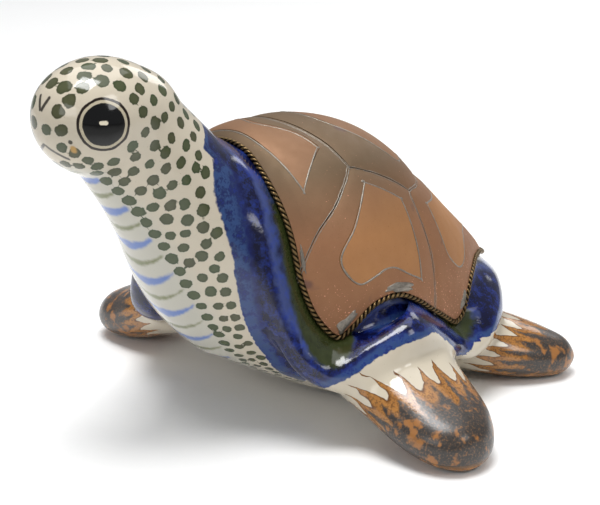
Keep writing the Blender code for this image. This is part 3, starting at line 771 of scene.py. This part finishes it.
shoulder, hip = flowing(to_plan(SHOULDER_SEAM), 40), flowing(to_plan(HIP_SEAM), 40)
front_seam, side_seam = flowing(to_plan(FRONT_SEAM), 30), flowing(to_plan(SIDE_SEAM), 20)
rear_seam = flowing(to_plan(REAR_SEAM), 40)
half_crown = np.vstack([front_seam[:-1], side_seam[:-1], rear_seam])
crown_outline = mirrored(half_crown)
nape_outline = mirrored(np.vstack([front_seam[:-1], shoulder, to_plan(NAPE_EDGE)]))
tail_outline = mirrored(np.vstack([rear_seam[:0:-1], hip, to_plan(TAIL_EDGE)]))
flank_outline = np.vstack([shoulder[::-1], side_seam[1:-1], hip, to_plan(FLANK_EDGE)])
flank_inlay = flowing(to_plan(FLANK_INLAY), 150, closed=True)
other_side = np.array((-1, 1))
SCUTES = (
    ("crown", (0, 2), crown_outline, flowing(mirrored(to_plan(CROWN_INLAY)), 160, closed=True)),
    ("nape", (0, 38), nape_outline, flowing(mirrored(to_plan(NAPE_INLAY)), 200, closed=True)),
    ("left_flank", (59, 29), flank_outline, flank_inlay),
    ("right_flank", (-59, 29), flank_outline * other_side, flank_inlay * other_side),
    ("tail", (0, -55), tail_outline, flowing(mirrored(to_plan(TAIL_INLAY)), 240, closed=True)),
)
SEAMS = (
    ("crown", crown_outline),
    ("left_shoulder", shoulder),
    ("right_shoulder", shoulder * other_side),
    ("left_hip", hip),
    ("right_hip", hip * other_side),
)


def dense(line, gap=0.5, joined=False):
    """A line of the flat map, or a loop, read at even steps of about gap degrees."""
    line = np.vstack([line, line[:1]]) if joined else line
    length = lengths(line)
    at = np.linspace(0, length[-1], int(length[-1] / gap) + 1)
    return np.stack([np.interp(at, length, line[:, axis]) for axis in (0, 1)], -1)


valley_line = on_dome(np.vstack([dense(line, joined=name == "crown") for name, line in SEAMS]))


def face_height(plan):
    """Height of the copper's face above the dome: low along the seams, dished up between them as
    1 - (1 - d / reach)^2, and turned down over the last few millimetres before the rope."""
    flat = on_dome(plan).reshape(-1, 3)
    from_seam, _ = nearest(flat, valley_line)
    share = 1 - np.clip(from_seam / PILLOW, 0, 1)
    edge = np.clip(nearest(flat, rim_line)[0] / EDGE_TURN, 0, 1)
    valley = np.exp(-((from_seam / SEAM_WIDTH) ** 2))
    height = PLATE_FACE + PLATE_CROWN * (1 - share**2) * (0.35 + 0.65 * edge) - SEAM_DEPTH * valley
    return height.reshape(plan.shape[:-1])


def beside_rim(at, inward, lift):
    """Points beside the rim: at runs from 0 to 1 round the loop, inward is across the dome."""
    steps = (0, -0.002, 0.002)
    line, before, after = (on_dome(curve(rim_loop, at + step, closed=True)) for step in steps)
    raised = on_dome(curve(rim_loop, at, closed=True), 1.0)
    sideways = unit(np.cross(raised - line, after - before))
    sideways *= np.sign(np.sum(sideways * (on_dome(np.zeros(2)) - line), axis=-1, keepdims=True))
    return on_dome(plan_of(line + np.asarray(inward, float)[..., None] * sideways), lift)


def copper_sheet():
    """The whole shell as one closed sheet: its face and its underside, out to the rope."""
    around, rows = SHEET_GRID
    at = (np.arange(around) + OFF_CENTRE) / around
    edge = plan_of(beside_rim(at, ROPE_RADIUS + 0.1, 0.0))
    plan = edge * np.linspace(0.4 / rows, 1, rows)[:, None, None]
    return skin(np.concatenate([on_dome(plan, PLATE_UNDER), on_dome(plan[::-1], face_height(plan[::-1]))]))


def punch(outline, centre, gap):
    """Everything outwards of an outline as seen from the shell's centre, the outline moved in by gap."""
    sides = np.roll(outline, -1, 0) - outline
    kept = np.linalg.norm(sides, axis=1) > 1e-3
    outline = outline[kept]
    sides = unit(np.roll(outline, -1, 0) - outline)
    across = np.stack([-sides[:, 1], sides[:, 0]], -1)
    across *= np.sign(np.sum(across * (centre - outline), axis=1).sum())
    corner = unit(across + np.roll(across, 1, 0))
    moved = outline + corner * gap / np.maximum(np.sum(corner * across, axis=1), 0.5)[:, None]
    near, far = np.array(WEDGE_REACH)[:, None, None] * dome_reach(moved)[0]
    tips = np.array(WEDGE_REACH)[:, None] * dome_reach(np.array([centre], float))[0]
    points, faces = skin(SHELL_CENTRE + np.stack([near, far]))
    points[-2:] = SHELL_CENTRE + tips
    return points, faces


def cut_out(shape, *cuts):
    """The shape after Booleans with closed helpers, each given as an operation and its helper."""
    piece = make_piece("blank", *shape)
    helpers = [make_piece("helper", *helper) for _, helper in cuts]
    for (operation, _), helper in zip(cuts, helpers):
        modifier = piece.modifiers.new(operation, "BOOLEAN")
        modifier.operation, modifier.object, modifier.solver = operation, helper, "MANIFOLD"
    shape = baked(piece)
    for helper in helpers:
        bpy.data.objects.remove(helper)
    return shape


def outwards(piece):
    """Turns a closed piece's faces outwards if its signed volume is negative."""
    mesh = piece.data
    mesh.calc_loop_triangles()
    points, faces = np.empty(len(mesh.vertices) * 3), np.empty(len(mesh.loop_triangles) * 3, np.int32)
    mesh.vertices.foreach_get("co", points)
    mesh.loop_triangles.foreach_get("vertices", faces)
    corners = points.reshape(-1, 3)[faces.reshape(-1, 3)]
    if np.linalg.det(corners).sum() < 0:
        mesh.flip_normals()


def patinated_copper(name, bright):
    """Copper sheet with a satin face. Browned copper is a liver-of-sulphur patina with purple stains and
    specks of bare pink metal near the solder; the rubbed copper is an even orange with fine dark grit
    left in it. On both, the up-facing top is painted darker and greyer than the sides, as painted shade."""
    material, tree, shader, place = new_finish(name)
    broad, blot, medium, grit = (
        add(tree, "TexNoise", {"Vector": place, "Scale": 1 / (size * MM), "Detail": detail})
        for size, detail in ((22, 3.0), (11, 2.0), (5, 4.0), (0.7, 2.0))
    )
    height = add(tree, "SeparateXYZ", (place,), "Z")
    # Side colours, and darker, greyer top colours that are painted shade on the up-facing copper.
    if bright:
        side, top = laid_over(tree, "9c6e4a", "b88554", broad), laid_over(tree, "82624a", "8f6b4d", broad)
    else:
        side, top = laid_over(tree, "8c6246", "a07452", broad), laid_over(tree, "665540", "7a634b", broad)
    colour = laid_over(tree, side, top, height, 78 * MM, 102 * MM)
    if bright:
        colour = laid_over(tree, colour, "6b4a30", grit, 0.66, 0.76, 0.4)
    else:
        colour = laid_over(tree, colour, "5c4446", blot, 0.66, 0.74, 0.6)
        colour = laid_over(tree, colour, "5c4636", grit, 0.62, 0.74, 0.35)
        low = {"Value": height, "From Min": 72 * MM, "From Max": 50 * MM, "To Max": 0.08}
        speck = summed(tree, add(tree, "MapRange", low), (grit, 1.0))
        colour = laid_over(tree, colour, "e0a184", speck, 0.735, 0.76)
    worn = {"Value": medium, "From Min": 0.3, "From Max": 0.7, "To Min": 0.56, "To Max": 0.68}
    rough = add(tree, "MapRange", worn)
    bump = add(tree, "Bump", {"Height": grit, "Strength": 0.12, "Distance": 0.15 * MM})
    fill(tree, shader, {"Base Color": colour, "Roughness": rough, "Metallic": 0.55, "Normal": bump})
    return material


sheet = copper_sheet()
browned = patinated_copper("browned copper sheet", bright=False)
rubbed = patinated_copper("rubbed copper sheet", bright=True)
for name, centre, outline, opening in SCUTES:
    outside, hole = punch(outline, centre, HALF_SEAM), punch(opening, centre, -HALF_SEAM / 2)
    for kind, slot, finish, cuts in (
        ("plate", "dull_copper", browned, (("INTERSECT", outside), ("DIFFERENCE", hole))),
        ("inlay", "bright_copper", rubbed, (("INTERSECT", punch(opening, centre, HALF_SEAM / 2)),)),
    ):
        scute = make_piece(f"{name}_{kind}_sheet", *cut_out(sheet, *cuts))
        outwards(scute)
        scute.data.set_sharp_from_angle(angle=SHARP_ANGLE)
        scute.data.materials.append(finish)
        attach(scute, "root")
        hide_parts(f"{name}_{kind}")


# ---- The solder lines ---------------------------------------------------------------------------
# Tin run along every joint with a hot iron: a pair of bright beads with a dark gap between them
# where two scutes meet, and one thin bead round each inlay.

SEAM_PROFILE = (
    (-0.66, -0.3), (-0.62, 0.0), (-0.46, 0.12), (-0.3, 0.06), (-0.14, -0.14), (0.14, -0.14), (0.3, 0.06),
    (0.46, 0.12), (0.62, 0.0), (0.66, -0.3),
)
INLAY_PROFILE = (
    (-0.34, -0.3), (-0.3, 0.0), (-0.15, 0.1), (0.0, 0.13), (0.15, 0.1), (0.3, 0.0), (0.34, -0.3),
)


def bead(line, profile, joined, seed):
    """A ribbon along a line of the flat map: each profile point lies so far across the copper and so
    far above its face, and both swell and shrink slowly as solder does."""
    line = dense(line, 0.6, joined)
    line = line[:-1] if joined else line
    middle = on_dome(line)
    ahead = np.roll(middle, -1, 0) - np.roll(middle, 1, 0) if joined else np.gradient(middle, axis=0)
    across = unit(np.cross(ahead, on_dome(line, 1.0) - middle))
    knots = np.arange(0, len(line) + 3, 3)
    swells = np.random.default_rng(seed).uniform(-1, 1, len(knots))
    swell = 1 + 0.25 * np.interp(np.arange(len(line)), knots, swells)[:, None]
    out, high = np.array(profile).T
    plan = plan_of(middle[:, None] + across[:, None] * (out * swell)[..., None])
    rings = on_dome(plan, face_height(plan) + high * np.where(high > 0, swell, 1))
    gap = np.broadcast_to(np.abs(out), rings.shape[:2]).ravel()
    return skin(rings, joined), gap if joined else np.append(gap, (1.0, 1.0))


def tin_solder():
    """Tin solder filed flush: soft grey metal, rough, bright where the file has caught it, and dark
    where flux sits in the gap."""
    material, tree, shader, place = new_finish("filed tin solder")
    gap = add(tree, "Attribute", {}, "Fac", attribute_name="gap")
    grain = add(tree, "TexNoise", {"Vector": place, "Scale": 1 / (0.9 * MM), "Detail": 3.0})
    filed = laid_over(tree, "5f574e", "aca59a", grain)
    colour = laid_over(tree, "2a2620", filed, gap, 0.2, 0.34)
    rough = add(tree, "MapRange", {"Value": grain, "To Min": 0.3, "To Max": 0.6})
    bump = add(tree, "Bump", {"Height": grain, "Strength": 0.5, "Distance": 0.3 * MM})
    fill(tree, shader, {"Base Color": colour, "Roughness": rough, "Metallic": 0.8, "Normal": bump})
    return material


tin = tin_solder()
seam_beads = []
for seed, (name, line) in enumerate(SEAMS):
    looped = name == "crown"
    seam_beads.append(bead(line[:-1] if looped else line, SEAM_PROFILE, looped, seed))
inlay_beads = [bead(scute[3], INLAY_PROFILE, True, 10 + seed) for seed, scute in enumerate(SCUTES)]
for name, beads in (("seam_solder", seam_beads), ("inlay_solder", inlay_beads)):
    gaps = np.concatenate([gap if name == "seam_solder" else np.ones(len(gap)) for _, gap in beads])
    solder = make_piece(name, *together([shape for shape, _ in beads]), gap=gaps)
    outwards(solder)
    solder.data.materials.append(tin)
    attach(solder, "root")


# ---- The rope edging ----------------------------------------------------------------------------
# Two brass wires twisted together and laid round the rim of the shell, tacked down with solder. The
# twist is black with age and its crests are rubbed bright.

ROPE_LIFT = 1.6
STRAND_RADIUS = 0.58
TWIST_RADIUS = 0.54
TWIST_PITCH = 4.5
STRAND_STEPS = 11  # points in each turn of a strand


def rope_strands():
    """Two helices round the rim line, half a turn apart: the strand's middle is the line plus the
    twist radius at an angle that grows with the length. Gives each shape and how far out it lies."""
    turns = round(lengths(rim_line)[-1] / TWIST_PITCH)
    at = np.linspace(0, 1, turns * STRAND_STEPS, endpoint=False)
    fine_at = np.linspace(0, 1, 3001)
    length = lengths(on_dome(curve(rim_loop, fine_at, closed=True), ROPE_LIFT))
    place = np.interp(at * length[-1], length, fine_at)
    line = beside_rim(place, 0.0, ROPE_LIFT)
    over = unit(beside_rim(place, 0.0, ROPE_LIFT + 1) - line)
    side = unit(np.cross(np.roll(line, -1, 0) - np.roll(line, 1, 0), over))
    strands = []
    for start in (0.0, np.pi):
        angle = (2 * np.pi * turns * at + start)[:, None]
        path = line + TWIST_RADIUS * (np.cos(angle) * side + np.sin(angle) * over)
        rings = tube(path, STRAND_RADIUS, 8, joined=True)
        out = np.linalg.norm(rings - line[:, None], axis=2).ravel()
        strands.append((skin(rings, joined=True), out))
    return strands


def antiqued_brass():
    """Brass wire blackened in liver of sulphur and wiped: gold only on the crests of the twist."""
    material, tree, shader, place = new_finish("antiqued brass wire")
    out = add(tree, "Attribute", {}, "Fac", attribute_name="out")
    grain = add(tree, "TexNoise", {"Vector": place, "Scale": 1 / (6 * MM), "Detail": 4.0})
    worn = {"Value": summed(tree, out, (grain, 0.35)), "From Min": 0.95, "From Max": 1.28}
    worn = add(tree, "MapRange", worn)
    colour = laid_over(tree, "1c160d", "7a6443", worn)
    rough = add(tree, "MapRange", {"Value": worn, "To Min": 0.55, "To Max": 0.3})
    fill(tree, shader, {"Base Color": colour, "Roughness": rough, "Metallic": 0.9})
    return material


strands = rope_strands()
distances = np.concatenate([out for _, out in strands])
rope = make_piece("twisted_rope", *together([shape for shape, _ in strands]), out=distances)
outwards(rope)
rope.data.materials.append(antiqued_brass())
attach(rope, "root")
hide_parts("rope_edging")


# ---- The solder dabs ----------------------------------------------------------------------------
# Where the rope is tacked down: long dabs of tin left rough from the iron, four on each side.

DAB_HEIGHT = 0.75
# Left side: name, bearing, how far up from the rim, length, width.
DABS = (
    ("shoulder", 31.5, 2.4, 10, 1.5),
    ("chest", 46.5, 3.4, 12, 4.2),
    ("flank", 64, 3.2, 14, 3.6),
    ("hip", 106, 3.0, 10, 3.4),
)


def dab(bearing, inward, length, width, turn, seed):
    """An oval mound beside the rope: its height falls as 1 - r^2 from the middle and is roughened,
    and its outline wanders by a fifth."""
    at = np.linspace(0, 0.5, 400)
    loop = curve(rim_loop, at, closed=True)
    start = np.interp(bearing, np.degrees(np.arctan2(loop[:, 0], loop[:, 1])), at)
    nearby = beside_rim(start + np.array((-0.002, 0.002)), inward, 0.0)
    per_millimetre = 0.004 / np.linalg.norm(nearby[1] - nearby[0])
    random = np.random.default_rng(seed)
    around = np.linspace(0, 2 * np.pi, 40, endpoint=False)
    wander = 1 + sum(0.09 * np.sin(wave * around + random.uniform(0, 6.3)) for wave in (2, 3, 5, 7))
    share = np.linspace(1, 0.08, 9)[:, None]
    along = turn * (start + share * wander * np.cos(around) * length / 2 * per_millimetre)
    across = inward + share * wander * np.sin(around) * width / 2
    flat = plan_of(beside_rim(along, across, 0.0))
    height = DAB_HEIGHT * (1 - share**2) + random.uniform(-0.16, 0.16, (9, 40)) * (share < 0.99)
    top = on_dome(flat, face_height(flat) + np.maximum(height, 0.05))
    base = on_dome(flat[:1], face_height(flat[:1]) - 0.3)
    return skin(np.concatenate([base, top]))


for number, (name, bearing, inward, length, width) in enumerate(DABS):
    for side, turn in (("left", 1), ("right", -1)):
        points, faces = dab(bearing, inward, length, width, turn, 2 * number + (turn > 0))
        mound = make_piece(f"dab_{name}_{side}", points, faces, gap=np.ones(len(points)))
        outwards(mound)
        mound.data.materials.append(tin)
        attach(mound, "root")
        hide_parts(f"solder_{name}_{side}")


# ---- The stage ----------------------------------------------------------------------------------
# A plain pale floor and soft studio light: a softbox overhead, weaker ones from the left, the front
# and the rear, and one that washes the paper behind, in a pale surround. The camera looks down a
# little from the turtle's front left.

AIM = np.array((0.0, 11.0, 56.8))
AZIMUTH, ELEVATION, DISTANCE = 46.0, 18.0, 0.65  # the camera's, with its distance in metres
LENS, SENSOR = 95.68, 36.0
FLOOR_REACH = 4000.0


def paper():
    """Seamless background paper: matt and nearly white, and painted grey as shade where it runs out under
    the lens.
    """
    material, tree, shader, place = new_finish("seamless paper")
    fibre = add(tree, "TexNoise", {"Vector": place, "Scale": 1 / (3 * MM), "Detail": 3.0})
    near = [float(np.sin(np.radians(AZIMUTH))), float(-np.cos(np.radians(AZIMUTH))), 0.0]
    toward_camera_shade = add(tree, "VectorMath", (place, near), 1, operation="DOT_PRODUCT")
    # Painted shade: the paper greys towards the camera.
    colour = laid_over(tree, laid_over(tree, "f8f8f7", "fbfbfa", fibre), "aeaeac", toward_camera_shade, 0.17, 0.4)
    fill(tree, shader, {"Base Color": colour, "Roughness": 0.9})
    return material


def aimed(name, data, azimuth, elevation, distance):
    """A lamp or camera that faces the aim from a distance in metres."""
    angle, rise = np.radians((azimuth, elevation))
    back = np.array((np.sin(angle) * np.cos(rise), -np.cos(angle) * np.cos(rise), np.sin(rise)))
    thing = bpy.data.objects.new(name, data)
    thing.location = (AIM * MM + back * distance).tolist()
    thing.rotation_euler = Vector((-back).tolist()).to_track_quat("-Z", "Y").to_euler()
    bpy.context.scene.collection.objects.link(thing)
    return thing


corners = np.array([(-1, -1, 0), (1, -1, 0), (1, 1, 0), (-1, 1, 0)]) * FLOOR_REACH - (0, 0, 0.2)
floor = make_piece("floor", corners, [[0, 1, 2, 3]])
floor.data.materials.append(paper())

# Azimuth, elevation, distance and size in metres, power in watts.
for name, azimuth, elevation, distance, width, height, power in (
    ("overhead box", 20, 80, 1.2, 0.55, 0.42, 9.5),
    ("left box", 95, 38, 1.4, 0.35, 0.6, 3.2),
    ("front fill", 15, 25, 1.6, 0.9, 0.6, 4),
    ("rear box", 200, 30, 1.6, 0.6, 0.6, 3),
    ("paper wash", 226, 76, 2.4, 2.4, 2.4, 30),
):
    lamp = bpy.data.lights.new(name, "AREA")
    lamp.shape = "RECTANGLE"
    lamp.size, lamp.size_y, lamp.energy = width, height, power
    aimed(name, lamp, azimuth, elevation, distance)

surround = bpy.data.worlds.new("pale surround")
bpy.context.scene.world = surround
surround.use_nodes = True
backdrop = surround.node_tree.nodes["Background"]
fill(surround.node_tree, backdrop, {"Color": "f4f6fa", "Strength": 0.32})

camera = aimed("camera", bpy.data.cameras.new("camera"), AZIMUTH, ELEVATION, DISTANCE)
camera.data.sensor_width = SENSOR
camera.data.lens = LENS
bpy.context.scene.camera = camera
bpy.context.scene.view_settings.view_transform = "Standard"
